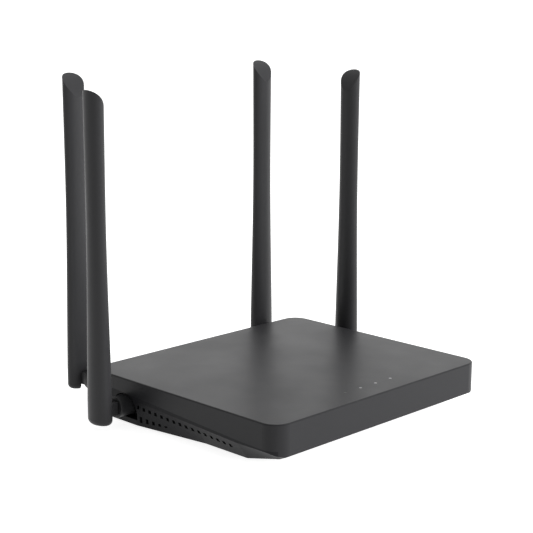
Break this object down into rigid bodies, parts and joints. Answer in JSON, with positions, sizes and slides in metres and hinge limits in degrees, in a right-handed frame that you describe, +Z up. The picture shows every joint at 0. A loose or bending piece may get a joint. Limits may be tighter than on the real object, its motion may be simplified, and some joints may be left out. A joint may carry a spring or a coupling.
{
  "type": "wireless router",
  "caption": "Slim dark grey wireless router with bevelled underside, side vents, rear sockets and folding, swivelling blade antennas.",
  "frame": {"origin": "centre of the whole object's footprint box, at the table surface under the feet", "axes": "+Z up, -Y to the front with the status lights, +X to the right as seen from the front"},
  "size_m": [0.205, 0.1666, 0.1824],
  "materials": {
    "cover_plastic": "satin dark grey moulded plastic",
    "shell_plastic": "fine-textured near-black moulded plastic",
    "antenna_plastic": "satin near-black moulded plastic",
    "foot_rubber": "matt black rubber",
    "zinc_steel": "zinc plated steel",
    "board_green": "solder mask with copper traces",
    "chip_black": "moulded epoxy",
    "tinned_lid": "tinned pressed sheet",
    "sink_aluminium": "plain extruded aluminium",
    "pad_silicone": "soft blue-grey pad",
    "light_acrylic": "milky clear acrylic",
    "led_white": "small lamp package",
    "contact_gold": "gold-plated spring wire",
    "socket_plastic": "black moulded plastic",
    "button_plastic": "satin moulded plastic",
    "can_sleeve": "shrink-sleeved can",
    "lead_jacket": "thin coaxial jacket",
    "ferrite": "shielded coil block"
  },
  "bodies": {
    "case": {"top_cover": "cover_plastic", "lower_shell": "shell_plastic", "rubber_feet": "foot_rubber", "case_screws": "zinc_steel", "circuit_board": "board_green", "board_screws": "zinc_steel", "main_chip": "chip_black", "memory_chip": "chip_black", "flash_chip": "chip_black", "radio_chips": "chip_black", "shield_cans": "tinned_lid", "thermal_pad": "pad_silicone", "heatsink": "sink_aluminium", "transformers": "chip_black", "capacitors": "can_sleeve", "inductors": "ferrite", "crystals": "tinned_lid", "status_leds": "led_white", "light_guide": "light_acrylic", "socket_contacts": "contact_gold", "power_inlet": "socket_plastic", "power_inlet_pin": "zinc_steel", "power_switch": "socket_plastic", "wps_switch": "socket_plastic", "antenna_connectors": "contact_gold", "wan_socket": "socket_plastic", "lan_socket_1": "socket_plastic", "lan_socket_2": "socket_plastic", "lan_socket_3": "socket_plastic", "left_side_lead": "lead_jacket", "right_side_lead": "lead_jacket", "left_rear_lead": "lead_jacket", "right_rear_lead": "lead_jacket"},
    "power_button": {"power_button": "button_plastic"},
    "wps_button": {"wps_button": "button_plastic"},
    "left_side_base": {"left_side_base": "antenna_plastic", "left_side_clip": "zinc_steel"},
    "left_side_blade": {"left_side_sleeve": "antenna_plastic", "left_side_foot": "antenna_plastic", "left_side_pin": "zinc_steel", "left_side_radiator": "board_green"},
    "right_side_base": {"right_side_base": "antenna_plastic", "right_side_clip": "zinc_steel"},
    "right_side_blade": {"right_side_sleeve": "antenna_plastic", "right_side_foot": "antenna_plastic", "right_side_pin": "zinc_steel", "right_side_radiator": "board_green"},
    "left_rear_base": {"left_rear_base": "antenna_plastic", "left_rear_clip": "zinc_steel"},
    "left_rear_blade": {"left_rear_sleeve": "antenna_plastic", "left_rear_foot": "antenna_plastic", "left_rear_pin": "zinc_steel", "left_rear_radiator": "board_green"},
    "right_rear_base": {"right_rear_base": "antenna_plastic", "right_rear_clip": "zinc_steel"},
    "right_rear_blade": {"right_rear_sleeve": "antenna_plastic", "right_rear_foot": "antenna_plastic", "right_rear_pin": "zinc_steel", "right_rear_radiator": "board_green"}
  },
  "joints": [
    {"name": "left_side_swivel", "type": "hinge", "parent": "case", "child": "left_side_base", "pos_m": [-0.0973, 0.02927, 0.0104], "axis": [-1, 0, 0], "range_deg": [-90, 90]},
    {"name": "left_side_fold", "type": "hinge", "parent": "left_side_base", "child": "left_side_blade", "pos_m": [-0.0973, 0.02927, 0.0104], "axis": [0, -1, 0], "range_deg": [0, 90]},
    {"name": "right_side_swivel", "type": "hinge", "parent": "case", "child": "right_side_base", "pos_m": [0.0973, 0.02927, 0.0104], "axis": [-1, 0, 0], "range_deg": [-90, 90]},
    {"name": "right_side_fold", "type": "hinge", "parent": "right_side_base", "child": "right_side_blade", "pos_m": [0.0973, 0.02927, 0.0104], "axis": [0, 1, 0], "range_deg": [0, 90]},
    {"name": "left_rear_swivel", "type": "hinge", "parent": "case", "child": "left_rear_base", "pos_m": [-0.0719, 0.07812, 0.0144], "axis": [0, 1, 0], "range_deg": [-90, 50]},
    {"name": "left_rear_fold", "type": "hinge", "parent": "left_rear_base", "child": "left_rear_blade", "pos_m": [-0.0719, 0.07812, 0.0144], "axis": [-1, 0, 0], "range_deg": [0, 90]},
    {"name": "right_rear_swivel", "type": "hinge", "parent": "case", "child": "right_rear_base", "pos_m": [0.0719, 0.07812, 0.0144], "axis": [0, -1, 0], "range_deg": [-90, 50]},
    {"name": "right_rear_fold", "type": "hinge", "parent": "right_rear_base", "child": "right_rear_blade", "pos_m": [0.0719, 0.07812, 0.0144], "axis": [-1, 0, 0], "range_deg": [0, 90]},
    {"name": "power_press", "type": "slide", "parent": "case", "child": "power_button", "axis": [0, -1, 0], "range_m": [0, 0.002], "stiffness_N_per_m": 900, "springref_m": -0.0006},
    {"name": "wps_press", "type": "slide", "parent": "case", "child": "wps_button", "axis": [0, -1, 0], "range_m": [0, 0.0008], "stiffness_N_per_m": 1500, "springref_m": -0.0004}
  ]
}
